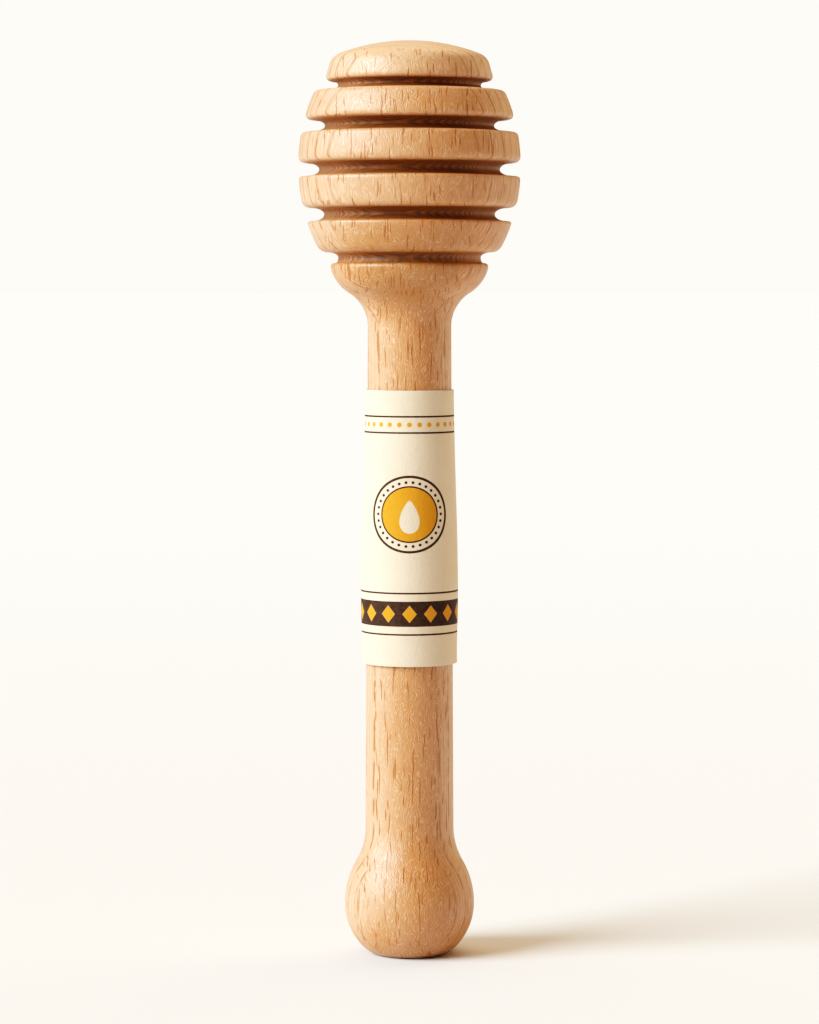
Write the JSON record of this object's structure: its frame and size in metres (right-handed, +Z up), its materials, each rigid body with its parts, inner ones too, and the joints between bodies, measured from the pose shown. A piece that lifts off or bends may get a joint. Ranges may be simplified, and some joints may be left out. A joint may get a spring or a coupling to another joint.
{
  "type": "honey dipper",
  "caption": "Turned beech honey dipper with a grooved egg-shaped head, a tapered handle, a round knob with a flat foot, and a loose paper sleeve round the handle.",
  "frame": {"origin": "centre of the flat foot of the knob, on the turning axis", "axes": "+Z up along the turning axis, from the foot to the crown of the head; -Y faces the front of the sleeve, whose seam is at +Y"},
  "size_m": [0.0386, 0.0386, 0.16],
  "materials": {
    "beech": "satin, finely sanded",
    "paper": "matte uncoated, printed",
    "glue": "dried clear glue"
  },
  "bodies": {
    "dipper": {"dipper": "beech"},
    "sleeve": {"label_sleeve": "paper", "seam_glue": "glue"}
  },
  "joints": [
    {"name": "sleeve_slide", "type": "slide", "parent": "dipper", "child": "sleeve", "axis": [0, 0, 1], "range_m": [-0.031, 0.0125]}
  ]
}
